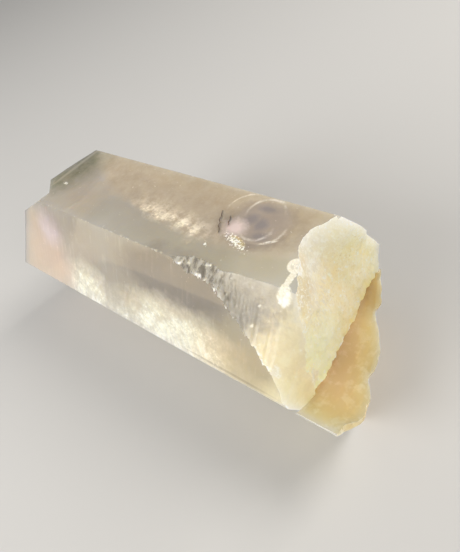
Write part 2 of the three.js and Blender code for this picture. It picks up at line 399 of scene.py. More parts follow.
def scar_depth(x, up):
    """How deep the scar lies below the front face, at a height up the face from its middle."""
    lower_edge = scar_lower_edge(x)
    inside = 1 - math.exp((lower_edge - up) / SCAR_LIP)
    below_ridge = 0.5 - up / SIDE
    corner = SCAR_CORNER_CURVE * below_ridge * max(0.0, x - SCAR_CORNER_X) ** 2
    ripple = 0.10 * noise.fractal(Vector((x * 0.35, up * 0.35, 11)), 0.8, 2.0, 3)
    along = (x - HACKLE_X) / HACKLE_LENGTH
    band = swell(along, (up - lower_edge - HACKLE_WIDTH / 2) / HACKLE_WIDTH)
    stroke = noise.noise(Vector((x * 1.5 + up * 0.35, up * 0.30 - x * 0.1, 21)))
    crumb = noise.noise(Vector((x * 2.6, up * 2.2, 23)))
    torn = HACKLE_DEPTH * band * (abs(stroke) * 2.2 + 0.5 * crumb)
    return (SCAR_DEPTH + corner) * inside + ripple - torn


scar_rings = []
for x in spread(SCAR_START_X, SCAR_END_X, 0.2):
    ring = []
    for up in spread(-14, 14, 0.22):
        depth = max(scar_depth(x, up), -6.0)
        ring.append(Vector((x, 0, 0)) + front_out * (APOTHEM - depth) + front_up * up)
    for up in (14, -14):
        ring.append(Vector((x, 0, 0)) + front_out * (APOTHEM + 12) + front_up * up)
    scar_rings.append(ring)
# The scar starts as a torn groove along the ridge itself
TORN_START_X, TORN_END_X, TORN_DEPTH, TORN_REACH = 56.5, 72.0, 0.85, 4.5
ridge_out = outward(60)
ridge_up = Vector((0, ridge_out.z, -ridge_out.y))
torn_rings = []
for x in spread(TORN_START_X, TORN_END_X, 0.15):
    fade = min(1.0, (x - TORN_START_X) / 5, (TORN_END_X - x) / 5)
    ring = []
    for across in spread(-TORN_REACH, TORN_REACH, 0.2):
        stroke = noise.noise(Vector((x * 2.6 + across * 0.8, across * 0.3, 41)))
        depth = TORN_DEPTH * fade + 0.38 * (fade + 0.2) * abs(stroke) - 0.07
        ring.append(Vector((x, 0, 0)) + ridge_out * (SIDE - depth) + ridge_up * across)
    for across in (TORN_REACH, -TORN_REACH):
        ring.append(Vector((x, 0, 0)) + ridge_out * (SIDE + 3) + ridge_up * across)
    torn_rings.append(ring)
strip_fall = STRIP_DEPTH / (STRIP_END_X - STRIP_START_X)
strip_normal = Vector((strip_fall, -1, 0)).normalized()
strip = plane_cutter(strip_normal, strip_normal.dot(Vector((STRIP_START_X, -SIDE, 0))), CHIP)
cut_away([loft("scar", scar_rings, SCAR), loft("torn_start", torn_rings, SCAR), strip])


def drop_crumbs(shape, least):
    """Deletes the loose bits of a mesh that have fewer corners than the least."""
    reached, loose = set(), []
    for first in shape.verts:
        if first in reached:
            continue
        bit, waiting = {first}, [first]
        while waiting:
            here = waiting.pop()
            for edge in here.link_edges:
                there = edge.other_vert(here)
                if there not in bit:
                    bit.add(there)
                    waiting.append(there)
        reached |= bit
        if len(bit) < least:
            loose.extend(bit)
    bmesh.ops.delete(shape, geom=loose, context="VERTS")


stone_shape = bmesh.new()
stone_shape.from_mesh(crystal.data)
drop_crumbs(stone_shape, 100)
SHORTEST_EDGE = 0.0005
bmesh.ops.dissolve_degenerate(stone_shape, edges=stone_shape.edges, dist=SHORTEST_EDGE)
stone_shape.to_mesh(crystal.data)
stone_shape.free()

# ------------------------------------------------------------
# Quartz
# The stone is cloudy rock crystal, pale honey in colour: glossy on its grown faces, sugary on the
# frosted break, grey where the scar is torn, and stained amber on the ledge. Milky clouds and the
# round crack under the top face show through its skin.
# ------------------------------------------------------------
mesh = crystal.data
region = np.zeros(len(mesh.polygons), np.int32)
mesh.attributes["surface"].data.foreach_get("value", region)
mask = mesh.attributes.new("finish", "FLOAT_COLOR", "CORNER")
# Each kind's finish: how frosted, how amber and how scarred
colours = {
    GROWN: (0, 0, 0, 1),
    OLD_BREAK: (0.5, 0, 0, 1),
    FROSTED: (1, 0, 0, 1),
    AMBER: (0, 1, 0, 1),
    HOOK: (0.4, 1, 0, 1),
    SCAR: (0, 0, 1, 1),
    CHIP: (0.2, 0, 0.35, 1),
    WORN: (0, 0, 0.25, 1),
    FISSURE: (0.1, 0, 0, 1),
}
loop_colours = np.zeros((len(mesh.loops), 4), np.float32)
for face in mesh.polygons:
    for corner in face.loop_indices:
        loop_colours[corner] = colours[region[face.index]]
mask.data.foreach_set("color", loop_colours.ravel())


def wear_and_glints_at(kind, p):
    """How torn, milky and crushed a break is at a place, each from 0 to 1. The crushed value also holds
    painted glints along the scar's lower edge and a painted highlight line along the frosted break's
    foot.
    """
    speckle = noise.fractal(p * 0.9, 0.7, 2.1, 4)
    if kind == SCAR:
        up = p.dot(front_up)
        above = up - scar_lower_edge(p.x)
        torn = 1.5 - ((p.x - HACKLE_X) / 7) ** 2 + 0.4 * speckle
        milky = (8.5 - up) / 9 + (p.x - 79) / 7 + 0.3 * speckle
        crumbling = 0.35 + 0.6 * max(0.7 * swell((p.x - 68.5) / 3.5), swell((p.x - 80.5) / 2))
        # Crushed white dots along the scar's lower edge, with painted glints among them
        crushed_and_glints = swell(above / 0.9) * (0.75 + 1.6 * speckle) * crumbling * clamped((83.5 - p.x) / 3)
        corner_spot = 0.95 * swell((p.x - 80.9) / 0.9, (p.y + 8.6) / 0.8)
        crushed_and_glints = max(crushed_and_glints, corner_spot + 0.8 * speckle - 0.15)
        return torn, milky, crushed_and_glints
    if kind == FROSTED:
        above = p.z - ledge(p.x, p.y)
        stain = swell((p.y + 11) / 4, (p.z + 0.5) / 5.5) + 0.6 * speckle
        stain = max(stain, swell(above / 2.6) * min(1.0, (p.y + 5) / 6) + 0.3 * speckle)
        # A painted highlight line along the foot, where the frosted break meets the ledge
        crushed_and_glints = swell(above / 0.7) * (0.7 + 1.6 * speckle) * (0.2 + 0.8 * swell((p.y + 1) / 4.5))
        crushed_and_glints = max(crushed_and_glints, 1.4 * swell((p.y + 2.2) / 1.2, (p.z - 17.5) / 1.5) + 0.8 * speckle)
        return 0, stain, crushed_and_glints
    return 1, 0, 0


wear_and_glints = mesh.attributes.new("wear_and_glints", "FLOAT_COLOR", "CORNER")
loop_wear_and_glints = np.zeros((len(mesh.loops), 4), np.float32)
for face in mesh.polygons:
    if region[face.index] in (SCAR, FROSTED, FISSURE):
        for corner in face.loop_indices:
            at = mesh.vertices[mesh.loops[corner].vertex_index].co
            loop_wear_and_glints[corner][:3] = np.clip(wear_and_glints_at(region[face.index], at), 0, 1)
wear_and_glints.data.foreach_set("color", loop_wear_and_glints.ravel())

# Edges between two kinds of surface are sharp, and so are those between two flat facets
FACET_ANGLE = 0.05
bm = bmesh.new()
bm.from_mesh(mesh)
bm.faces.ensure_lookup_table()
for edge in bm.edges:
    if len(edge.link_faces) == 2:
        a, b = edge.link_faces
        kind = region[a.index]
        same_kind = kind == region[b.index]
        edge.smooth = same_kind and not (
            kind in (GROWN, CHIP) and a.normal.angle(b.normal) > FACET_ANGLE
        )
for face in bm.faces:
    face.smooth = True
bm.to_mesh(mesh)
bm.free()

# Where the frame's origin lies from the middle of the prism's far end
FRAME_ORIGIN = Vector((47.93, 0.2, -BOTTOM_APOTHEM))
MM = 0.001
INTO_FRAME = Matrix.Scale(MM, 4) @ Matrix.Translation(-FRAME_ORIGIN)
mesh.transform(INTO_FRAME)
crystal.name = "quartz_crystal_detailed"

quartz = bpy.data.materials.new("cloudy_quartz")
quartz.use_nodes = True
nodes, links = quartz.node_tree.nodes, quartz.node_tree.links
shader = nodes["Principled BSDF"]
shader.inputs["IOR"].default_value = 1.544
shader.inputs["Subsurface Weight"].default_value = 1.0
shader.inputs["Subsurface Scale"].default_value = 0.012
shader.inputs["Subsurface Radius"].default_value = (1.0, 0.95, 0.75)
absorb = nodes.new("ShaderNodeVolumeAbsorption")
absorb.inputs["Color"].default_value = (0.96, 0.90, 0.74, 1)
absorb.inputs["Density"].default_value = 34.0
links.new(absorb.outputs["Volume"], nodes["Material Output"].inputs["Volume"])


def painted(name):
    """The three weights that a layer of the mesh holds."""
    layer = nodes.new("ShaderNodeVertexColor")
    layer.layer_name = name
    split = nodes.new("ShaderNodeSeparateColor")
    links.new(layer.outputs["Color"], split.inputs["Color"])
    return split.outputs["Red"], split.outputs["Green"], split.outputs["Blue"]


frost, amber, scarred = painted("finish")
torn, milky, crushed_and_glints = painted("wear_and_glints")


def feed(socket, value):
    """Gives a socket a plain value or another node's output."""
    if isinstance(value, bpy.types.NodeSocket):
        links.new(value, socket)
    else:
        socket.default_value = value


def number(operation, first, *others):
    """Weights put together one after another, and kept between 0 and 1."""
    for other in others:
        node = nodes.new("ShaderNodeMath")
        node.operation = operation
        node.use_clamp = True
        feed(node.inputs[0], first)
        feed(node.inputs[1], other)
        first = node.outputs[0]
    return first


def scaled(*weights):
    """Weights times one another."""
    return number("MULTIPLY", *weights)


def strongest(*weights):
    """The largest of some weights."""
    return number("MAXIMUM", *weights)


def summed(*weights):
    """Weights added up, to 1 at most."""
    return number("ADD", *weights)


def less(a, b):
    """One weight less another, to 0 at least."""
    return number("SUBTRACT", a, b)


def stretch(value, low, high, to_low=0.0, to_high=1.0):
    """Spreads the values from low to high over another range, and cuts off the rest."""
    node = nodes.new("ShaderNodeMapRange")
    feed(node.inputs["Value"], value)
    feed(node.inputs["From Min"], low)
    feed(node.inputs["From Max"], high)
    feed(node.inputs["To Min"], to_low)
    feed(node.inputs["To Max"], to_high)
    return node.outputs["Result"]


def tinted(weight, a, b):
    """A colour that goes from a to b with a weight."""
    node = nodes.new("ShaderNodeMix")
    node.data_type = "RGBA"
    feed(node.inputs["Factor"], weight)
    feed(node.inputs["A"], a)
    feed(node.inputs["B"], b)
    return node.outputs["Result"]


def coated(colour, coats):
    """A colour with coats laid over it in turn, each a weight and a colour."""
    for weight, coat in coats:
        colour = tinted(weight, colour, coat)
    return colour


place = nodes.new("ShaderNodeTexCoord").outputs["Object"]


def cloudiness(size, detail, roughness=0.55, stretch_by=(1, 1, 1)):
    """A cloudy pattern through the stone, with puffs of a size in millimetres."""
    squash = nodes.new("ShaderNodeMapping")
    squash.inputs["Scale"].default_value = stretch_by
    links.new(place, squash.inputs["Vector"])
    node = nodes.new("ShaderNodeTexNoise")
    node.inputs["Scale"].default_value = 1000 / size
    node.inputs["Detail"].default_value = detail
    node.inputs["Roughness"].default_value = roughness
    links.new(squash.outputs["Vector"], node.inputs["Vector"])
    return node


# How far the ragged outlines of clouds are pushed about
WOBBLE = 0.006
wobble = nodes.new("ShaderNodeMix")
wobble.data_type = "VECTOR"
wobble.inputs["Factor"].default_value = WOBBLE
links.new(place, wobble.inputs["A"])
links.new(cloudiness(7, 5, 0.65).outputs["Color"], wobble.inputs["B"])


def dab(x, y, z, long, across, high, turn=0, ragged=False):
    """A round or oval weight: 1 in its middle, 0 at its edge. Sizes are in millimetres."""
    node = nodes.new("ShaderNodeMapping")
    node.vector_type = "TEXTURE"
    middle = (Vector((x, y, z)) - FRAME_ORIGIN) * MM
    if ragged:
        middle += Vector((1, 1, 1)) * (WOBBLE / 2)
    node.inputs["Location"].default_value = middle
    node.inputs["Rotation"].default_value = (0, 0, math.radians(turn))
    node.inputs["Scale"].default_value = (long * MM, across * MM, high * MM)
    links.new(wobble.outputs["Result"] if ragged else place, node.inputs["Vector"])
    ball = nodes.new("ShaderNodeTexGradient")
    ball.gradient_type = "SPHERICAL"
    links.new(node.outputs["Vector"], ball.inputs["Vector"])
    return ball.outputs["Fac"]


def patch(x, y, z, long, across, high):
    """A dab with a ragged edge, as clouds have."""
    return dab(x, y, z, long, across, high, ragged=True)


TOP_Z = 17.3


def on_top(x, y, long, across, high, turn=0):
    """A dab on the top face."""
    return dab(x, y, TOP_Z, long, across, high, turn)


puffs = cloudiness(3.0, 6, 0.7).outputs["Fac"]
drift = cloudiness(18.0, 3, 0.5).outputs["Fac"]
mottle = cloudiness(0.9, 4, 0.6).outputs["Fac"]
grain = cloudiness(0.45, 5, 0.7).outputs["Fac"]

# The milky heart lies up and back, and a milky cloud lies low along the front, whose glow is painted in
# as pale colour
heart_patch = patch(58, 16, TOP_Z, 48, 21, 16)
heart = stretch(heart_patch, 0.0, 0.10)
heart_rim = less(heart, stretch(heart_patch, 0.10, 0.30))
heart_rim = scaled(heart_rim, stretch(patch(50, -2, TOP_Z, 14, 9, 9), 0.0, 0.5))
glow = strongest(
    patch(58, -19, 1, 21, 11, 10.5),
    patch(29, -19, 1, 10, 10, 10),
    scaled(patch(44, -20, -2, 20, 9, 11), 0.6),
)
glow = stretch(glow, 0.0, 0.6)
crumbs = cloudiness(2.2, 6, 0.72).outputs["Fac"]
glow = scaled(glow, stretch(crumbs, 0.40, 0.58, 0.62, 1.0))
cloud_and_glow = strongest(glow, scaled(heart_rim, stretch(crumbs, 0.42, 0.60, 0.0, 0.75)))

# Milk: more in the root, the far end and the near corner, less at the crack, and threads on the sides
apart = nodes.new("ShaderNodeSeparateXYZ")
links.new(place, apart.inputs["Vector"])
root = strongest(stretch(apart.outputs["Z"], 0.014, 0.008), stretch(apart.outputs["Y"], 0.009, 0.014))
rosy = stretch(patch(8, -18, 5, 17, 14, 16), 0.0, 0.35)
window = stretch(patch(69, 3.2, TOP_Z, 8.6, 7.2, 5), 0.10, 0.28)
above_ledge = less(1.0, amber)
warm_corner = scaled(stretch(patch(81, -17, 0, 21, 9, 14), 0.0, 0.5), above_ledge)
milky_corner = scaled(stretch(patch(88, -18, -5, 13, 7, 12), 0.0, 0.6), above_ledge)
milk = summed(
    stretch(drift, 0.35, 0.7, 0.40, 0.50),
    scaled(root, 0.2),
    scaled(heart, 0.18),
    scaled(cloud_and_glow, 0.5),
    scaled(rosy, 0.25),
    scaled(warm_corner, 0.12),
    scaled(milky_corner, 0.6),
)
milk = scaled(milk, stretch(window, 0, 1, 1.0, 0.8))
haze = stretch(patch(77, -6.5, TOP_Z, 11, 8, 4), 0.0, 0.45)
striae = cloudiness(0.8, 4, 0.65, (1.0, 0.09, 0.09)).outputs["Fac"]
on_sides = stretch(apart.outputs["Z"], 0.0336, 0.0330, 0.0, 0.07)
threads = scaled(stretch(striae, 0.5, 0.65), on_sides, stretch(puffs, 0.45, 0.6))
milk = summed(milk, scaled(haze, 0.10), threads)


def crumbled(weight, around):
    """Breaks a weight up into crumbs, and keeps it inside a wider one."""
    broken = stretch(summed(weight, less(scaled(crumbs, 1.6), 0.8)), 0.05, 0.75)
    return scaled(broken, stretch(around, 0.0, 0.3))


def ring_line(x, y, radius, width, side_x, side_y, reach):
    """A fine arc on the top face, which shows on one side only."""
    middle = on_top(x, y, 2 * radius, 2 * radius, 2 * radius)
    bent = summed(middle, less(scaled(puffs, 0.16), 0.08))
    outer, inner = stretch(bent, 0.5 - width / radius, 0.5), stretch(bent, 0.5 + width / radius, 0.5)
    there = stretch(on_top(side_x, side_y, reach, reach, reach), 0.0, 0.5)
    return scaled(scaled(outer, inner), scaled(there, stretch(crumbs, 0.40, 0.58, 0.1, 0.75)))


# The round crack under the top face: grey with darker blotches, pale arcs, a rosy side and gold glints
ripples = strongest(
    ring_line(68.5, 5.6, 3.9, 0.22, 67.4, 8.6, 5.5),
    ring_line(68.7, 2.4, 3.3, 0.22, 70.0, -0.6, 4.5),
    ring_line(65.4, 4.8, 5.2, 0.16, 61.6, 7.6, 4.0),
    ring_line(68.9, 3.6, 5.4, 0.2, 73.4, 0.8, 3.5),
)
blotches = strongest(
    on_top(66.7, 3.7, 2.2, 1.9, 2),
    on_top(68.3, 7.0, 3.0, 1.4, 2),
    on_top(70.6, 0.3, 2.6, 1.6, 2, 10),
    on_top(69.2, 3.1, 1.8, 2.2, 2),
)
blotches = crumbled(blotches, on_top(68.9, 3.4, 6.2, 5.4, 4))
rosy_side = crumbled(on_top(64.8, 0.7, 3.4, 3.0, 3), on_top(64.8, 0.7, 4.2, 3.6, 4))
gold_glint = stretch(on_top(67.2, -1.9, 2.6, 0.9, 1, -15), 0.0, 0.5)
brow = scaled(stretch(on_top(72.9, -0.1, 2.1, 0.38, 1, 34), 0.0, 0.5), stretch(mottle, 0.35, 0.5))
milk = summed(milk, scaled(strongest(ripples, brow, rosy_side), 0.3))

# A small knob and a crushed lump at the near corner of the top face, with a crumbled line between; the
# knob's bright rim is a painted highlight
knob = dab(80.3, -2.7, 17.0, 1.8, 1.8, 3)
knob_rim_highlight = less(stretch(knob, 0.05, 0.2), stretch(knob, 0.3, 0.5))
knob = stretch(knob, 0.05, 0.2)
lump = strongest(
    dab(81.2, -8.6, 16.6, 1.7, 2.3, 2.4),
    dab(80.7, -5.6, 17.2, 0.8, 3.2, 1.5),
    scaled(dab(82.1, -16.8, 5.6, 1.5, 1.5, 2.4), 0.7),
    scaled(dab(86.0, -11.9, -1.2, 2.0, 2.0, 2.6), 0.7),
)
lump = strongest(stretch(summed(lump, scaled(mottle, 0.9)), 0.60, 0.78), knob_rim_highlight)
milk = summed(milk, summed(scaled(knob, 0.3), scaled(lump, 0.4)))

# Painted glints in the round crack and pits, white flecks in the front cloud, crushed spots with
# painted glints and highlights, and the open cracks
glints = strongest(
    on_top(66.9, -2.2, 5.2, 1.5, 1, -20),
    on_top(61.6, -4.7, 1.2, 0.5, 1, -40),
    on_top(14.2, -2.5, 1.5, 0.6, 1, -20),
)
fleck = summed(grain, scaled(glints, 0.24))
cloud_flecks = summed(scaled(grain, 0.5), scaled(crumbs, 0.5))
cloud_flecks = scaled(stretch(cloud_flecks, 0.53, 0.60), stretch(cloud_and_glow, 0.4, 0.9))
painted_glints_and_specks = strongest(
    scaled(stretch(fleck, 0.64, 0.70), stretch(glints, 0, 0.1)),
    scaled(cloud_flecks, 0.45),
    stretch(crushed_and_glints, 0.3, 0.7),
)
fissure = scaled(torn, less(1.0, scarred))
milk = summed(milk, scaled(painted_glints_and_specks, 0.6), scaled(fissure, 0.6))

# Breaks and chips are duller than grown faces, each with its own grain
scar_dulled = scaled(scarred, stretch(milky, 0, 1, 0.10, 0.45))
dulled = summed(scaled(frost, 0.55), scar_dulled, scaled(amber, 0.24))
links.new(less(1.0, summed(milk, dulled)), shader.inputs["Transmission Weight"])
satin = stretch(mottle, 0.3, 0.7, 0.03, 0.07)
dull = summed(scaled(frost, 0.29), scaled(scarred, stretch(mottle, 0.35, 0.65, 0.25, 0.38)))
links.new(summed(satin, summed(dull, scaled(amber, 0.12))), shader.inputs["Roughness"])

# Rosy and grey towards the far end, honey towards the near end
nearness = stretch(apart.outputs["X"], -0.035, 0.035)
heart_shade = tinted(stretch(puffs, 0.35, 0.65), (0.64, 0.54, 0.41, 1), (0.75, 0.65, 0.51, 1))
clear_green_painted_dark = stretch(patch(4, 4, 17, 20, 15, 13), 0.05, 0.4)
painted_dark_green_shade = tinted(stretch(puffs, 0.38, 0.62), (0.40, 0.40, 0.28, 1), (0.60, 0.56, 0.44, 1))
far_rim_highlight = stretch(on_top(11.9, 2.9, 9, 0.7, 1.5, 80.6), 0.0, 0.5)
crack_shade = stretch(patch(68.9, 3.6, TOP_Z, 7.5, 6.6, 4), 0.0, 0.3)
painted_front_shade = stretch(patch(57, -12.0, 13.0, 18, 7, 6.5), 0.0, 0.35)
stone = coated(
    tinted(nearness, (0.86, 0.78, 0.69, 1), (0.90, 0.82, 0.62, 1)),
    [
        (stretch(drift, 0.4, 0.65, 0, 0.6), (0.80, 0.77, 0.70, 1)),
        (heart, heart_shade),
        # Painted shade: the clear, faintly green window at the far end is darkened to a greenish grey
        (clear_green_painted_dark, painted_dark_green_shade),
        # A painted highlight along the far edge of the top face
        (scaled(far_rim_highlight, 0.7), (0.86, 0.80, 0.64, 1)),
        (scaled(crack_shade, 0.6), (0.62, 0.55, 0.50, 1)),
        (scaled(blotches, 0.6), (0.40, 0.37, 0.40, 1)),
        (scaled(rosy_side, 0.8), (0.94, 0.80, 0.78, 1)),
        (strongest(ripples, brow), (1.0, 0.94, 0.84, 1)),
        (gold_glint, (0.98, 0.79, 0.46, 1)),
        # Painted shade: a darker patch high on the front face
        (scaled(painted_front_shade, 0.8), (0.56, 0.50, 0.43, 1)),
        (scaled(haze, 0.4), (0.84, 0.77, 0.63, 1)),
        # Pale milk of the front cloud, with its glow painted in
        (cloud_and_glow, (1.0, 0.92, 0.75, 1)),
    ],
)

# Wisps curl through the front cloud, some bright and some dark
wisp_middle = nodes.new("ShaderNodeMapping")
wisp_middle.vector_type = "TEXTURE"
wisp_middle.inputs["Location"].default_value = (Vector((46, -20, -6)) - FRAME_ORIGIN) * MM
wisp_middle.inputs["Scale"].default_value = (MM, MM, MM)
links.new(place, wisp_middle.inputs["Vector"])
wisps = nodes.new("ShaderNodeTexWave")
wisps.wave_type = "RINGS"
wisps.rings_direction = "SPHERICAL"
wisps.inputs["Scale"].default_value = 0.22
wisps.inputs["Distortion"].default_value = 5.0
wisps.inputs["Detail"].default_value = 4
wisps.inputs["Detail Scale"].default_value = 0.35
links.new(wisp_middle.outputs["Vector"], wisps.inputs["Vector"])
bright_wisps = scaled(stretch(wisps.outputs["Fac"], 0.70, 0.95), stretch(crumbs, 0.42, 0.58))
dark_wisps = scaled(stretch(wisps.outputs["Fac"], 0.30, 0.05), stretch(crumbs, 0.56, 0.44))
# A painted shadow line along the front face, just above the worn strip
painted_strip_shadow = stretch(dab(73, -19.5, 0.87, 14, 0.32, 0.36), 0.0, 0.4)
stone = coated(
    stone,
    [
        (scaled(bright_wisps, glow, 0.5), (1.0, 0.98, 0.93, 1)),
        (scaled(dark_wisps, glow, 0.35), (0.70, 0.61, 0.46, 1)),
        (rosy, (0.81, 0.66, 0.54, 1)),
        (stretch(patch(16, -13.5, 12.5, 7, 5, 6), 0.0, 0.6), (0.88, 0.76, 0.75, 1)),
        (scaled(warm_corner, 0.8), (0.81, 0.68, 0.44, 1)),
        # The painted shadow line above the worn strip
        (scaled(painted_strip_shadow, 0.6), (0.50, 0.42, 0.30, 1)),
        (milky_corner, (0.96, 0.83, 0.52, 1)),
    ],
)

# The scar is grey and torn in fine strokes at its start, and milky towards the corner
strokes = cloudiness(1.0, 5, 0.75, (1.0, 0.45, 0.45)).outputs["Fac"]
scar_grey = tinted(stretch(crumbs, 0.4, 0.6), (0.64, 0.59, 0.49, 1), (0.76, 0.71, 0.60, 1))
scar_milky = tinted(stretch(crumbs, 0.4, 0.62), (0.86, 0.76, 0.53, 1), (0.94, 0.84, 0.60, 1))
dark_strokes = scaled(torn, stretch(strokes, 0.49, 0.43))
pale_strokes = scaled(torn, stretch(strokes, 0.52, 0.57, 0.0, 0.7))
scar_shade = coated(
    scar_grey,
    [
        (milky, scar_milky),
        (dark_strokes, (0.36, 0.32, 0.26, 1)),
        (pale_strokes, (0.92, 0.88, 0.78, 1)),
    ],
)
stone = tinted(stretch(scarred, 0, 0.6), stone, scar_shade)

# The frosted break is honey and sugary, white under the top edge and at its foot, brown where thin,
# with painted glints on its grain
frosting = tinted(stretch(puffs, 0.35, 0.65), (0.91, 0.79, 0.48, 1), (0.96, 0.87, 0.64, 1))
low_frost = stretch(patch(87, -9, -1, 12, 11, 13), 0.0, 0.6)
white_brow = stretch(patch(82, 1, 16, 12, 12, 9), 0.0, 0.6)
thin_edge = stretch(patch(82, -5, 16, 9, 8.5, 7), 0.0, 0.5)
streaks = cloudiness(0.6, 4, 0.7, (1, 1, 0.22)).outputs["Fac"]
streaks = scaled(stretch(streaks, 0.50, 0.42), stretch(patch(83, -2, 14, 9, 10, 12), 0.0, 0.4))
# Golden crumbs on the frosted break, partly painted as glints
gold = strongest(dab(85.9, -11.8, 1.0, 3, 2.2, 5), dab(83.2, 10.5, 7.5, 3, 1.3, 3))
gold_crumbs_and_glints = scaled(stretch(summed(grain, scaled(gold, 0.26)), 0.60, 0.68), stretch(gold, 0, 0.15))
chips = scaled(stretch(mottle, 0.54, 0.60), strongest(thin_edge, white_brow))
# Painted glints on the frosted grain
painted_frost_glints = scaled(stretch(grain, 0.58, 0.61), stretch(puffs, 0.38, 0.58, 0.2, 1.0))
frosting = coated(
    frosting,
    [
        (scaled(stretch(grain, 0.43, 0.36), 0.8), (0.76, 0.63, 0.38, 1)),
        (scaled(milky, 0.55), (0.98, 0.83, 0.48, 1)),
        (scaled(low_frost, 0.75), (1.0, 0.96, 0.72, 1)),
        (scaled(white_brow, 0.95), (0.91, 0.87, 0.77, 1)),
        (scaled(thin_edge, 0.9), (0.72, 0.61, 0.40, 1)),
        (scaled(streaks, 0.55), (0.76, 0.72, 0.63, 1)),
        (scaled(gold_crumbs_and_glints, 0.8), (1.0, 0.83, 0.50, 1)),
        (scaled(chips, 0.6), (1.0, 0.97, 0.88, 1)),
        (painted_frost_glints, (1.0, 0.98, 0.92, 1)),
    ],
)

# The ledge is stained honey, with pale folds, and is darker towards the back
honey = tinted(stretch(drift, 0.35, 0.65), (0.68, 0.48, 0.21, 1), (0.78, 0.58, 0.31, 1))
folds = cloudiness(2.2, 3, 0.6, (1, 1, 0.15)).outputs["Fac"]
honey = tinted(stretch(folds, 0.50, 0.62, 0.0, 0.5), honey, (0.90, 0.72, 0.45, 1))
honey = tinted(stretch(patch(90, 14, -8, 15, 10, 11), 0.0, 0.5, 0.0, 0.9), honey, (0.50, 0.34, 0.14, 1))
lump_shade = tinted(stretch(grain, 0.45, 0.6), (0.86, 0.79, 0.62, 1), (0.97, 0.91, 0.78, 1))
stone = coated(
    stone,
    [
        (frost, frosting),
        (knob, (0.86, 0.79, 0.64, 1)),
        (lump, lump_shade),
        # Painted glints and highlights, white flecks and crushed spots
        (painted_glints_and_specks, (1.0, 0.97, 0.88, 1)),
        (fissure, (0.22, 0.16, 0.12, 1)),
        (amber, honey),
    ],
)
links.new(stone, shader.inputs["Base Color"])

# Fine relief: sugary grain on the breaks, faint growth lines and rubbed spots on the grown faces
lines = nodes.new("ShaderNodeTexWave")
lines.bands_direction = "X"
lines.inputs["Scale"].default_value = 260
lines.inputs["Distortion"].default_value = 2.0
lines.inputs["Detail"].default_value = 4
lines.inputs["Detail Scale"].default_value = 1.2
links.new(place, lines.inputs["Vector"])
smooth_relief = summed(scaled(lines.outputs["Fac"], 0.02), scaled(mottle, 0.04))
coarse = summed(scaled(grain, 0.22), scaled(crumbs, 0.6))
rough_relief = scaled(strongest(frost, scaled(scarred, 0.6)), coarse)
relief = nodes.new("ShaderNodeBump")
relief.inputs["Distance"].default_value = 0.0008
relief.inputs["Strength"].default_value = 0.5
links.new(summed(smooth_relief, rough_relief), relief.inputs["Height"])
links.new(relief.outputs["Normal"], shader.inputs["Normal"])

mesh.materials.clear()
mesh.materials.append(quartz)
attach(crystal, "root")
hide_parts("quartz_crystal")

# ------------------------------------------------------------
# Veils
# Old cracks inside the stone healed and left veils of tiny flat bubbles and films, which stand as
# pale, ragged clouds under the faces.
# ------------------------------------------------------------
veil_film = bpy.data.materials.new("healed_crack_film")
veil_film.use_nodes = True
film_nodes, film_links = veil_film.node_tree.nodes, veil_film.node_tree.links
film = film_nodes["Principled BSDF"]
film.inputs["Roughness"].default_value = 0.35
film_noise = film_nodes.new("ShaderNodeTexNoise")
film_noise.inputs["Scale"].default_value = 900
film_ramp = film_nodes.new("ShaderNodeValToRGB")
film_ramp.color_ramp.elements[0].color = (0.90, 0.80, 0.60, 1)
film_ramp.color_ramp.elements[1].color = (0.98, 0.95, 0.88, 1)
film_links.new(film_nodes.new("ShaderNodeTexCoord").outputs["Object"], film_noise.inputs["Vector"])
film_links.new(film_noise.outputs["Fac"], film_ramp.inputs["Fac"])
film_links.new(film_ramp.outputs["Color"], film.inputs["Base Color"])


def set_in_stone(name, mesh, material):
    """Places a mesh that was made in millimetres around the prism's axis inside the crystal."""
    mesh.transform(INTO_FRAME)
    mesh.materials.append(material)
    piece = new_object(name, mesh)
    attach(piece, "root")
    return piece


VEIL_CELL, VEIL_THICKNESS = 0.3, 0.10


def veil(name, middle, along, across, coverage, seed):
    """A crumpled sheet with ragged holes, which reaches along and across from its middle."""
    random.seed(seed)
    normal = along.cross(across).normalized()
    columns, rows = round(2 * along.length / VEIL_CELL), round(2 * across.length / VEIL_CELL)
    sheet = bmesh.new()
    verts = {}
    for i in range(columns):
        for j in range(rows):
            u, v = 2 * (i + 0.5) / columns - 1, 2 * (j + 0.5) / rows - 1
            spot = Vector((u * along.length, v * across.length, seed * 7.0))
            puff = noise.fractal(spot * 0.22, 0.8, 2.1, 3)
            puff = puff + 0.55 * noise.fractal(spot * 0.9, 0.7, 2.2, 3)
            if puff + coverage - 1.1 * (u * u + v * v) ** 1.5 < 0:
                continue
            ring = []
            for di, dj in ((0, 0), (1, 0), (1, 1), (0, 1)):
                key = (i + di, j + dj)
                if key not in verts:
                    s, t = 2 * key[0] / columns - 1, 2 * key[1] / rows - 1
                    at = Vector((s * along.length, t * across.length, seed))
                    crumple = 0.7 * noise.fractal(at * 0.18, 0.9, 2.0, 3) + 0.2 * noise.noise(at * 1.4)
                    jitter = Vector([random.uniform(-1, 1) for _ in range(3)]) * 0.1
                    flat = middle + along * s + across * t
                    verts[key] = sheet.verts.new(flat + normal * crumple + jitter)
                ring.append(verts[key])
            sheet.faces.new(ring)
    drop_crumbs(sheet, 9)
    sheet.normal_update()
    bmesh.ops.solidify(sheet, geom=sheet.faces, thickness=VEIL_THICKNESS)
    bmesh.ops.recalc_face_normals(sheet, faces=sheet.faces)
    mesh = bpy.data.meshes.new(name)
    sheet.to_mesh(mesh)
    sheet.free()
    return set_in_stone(name, mesh, veil_film)


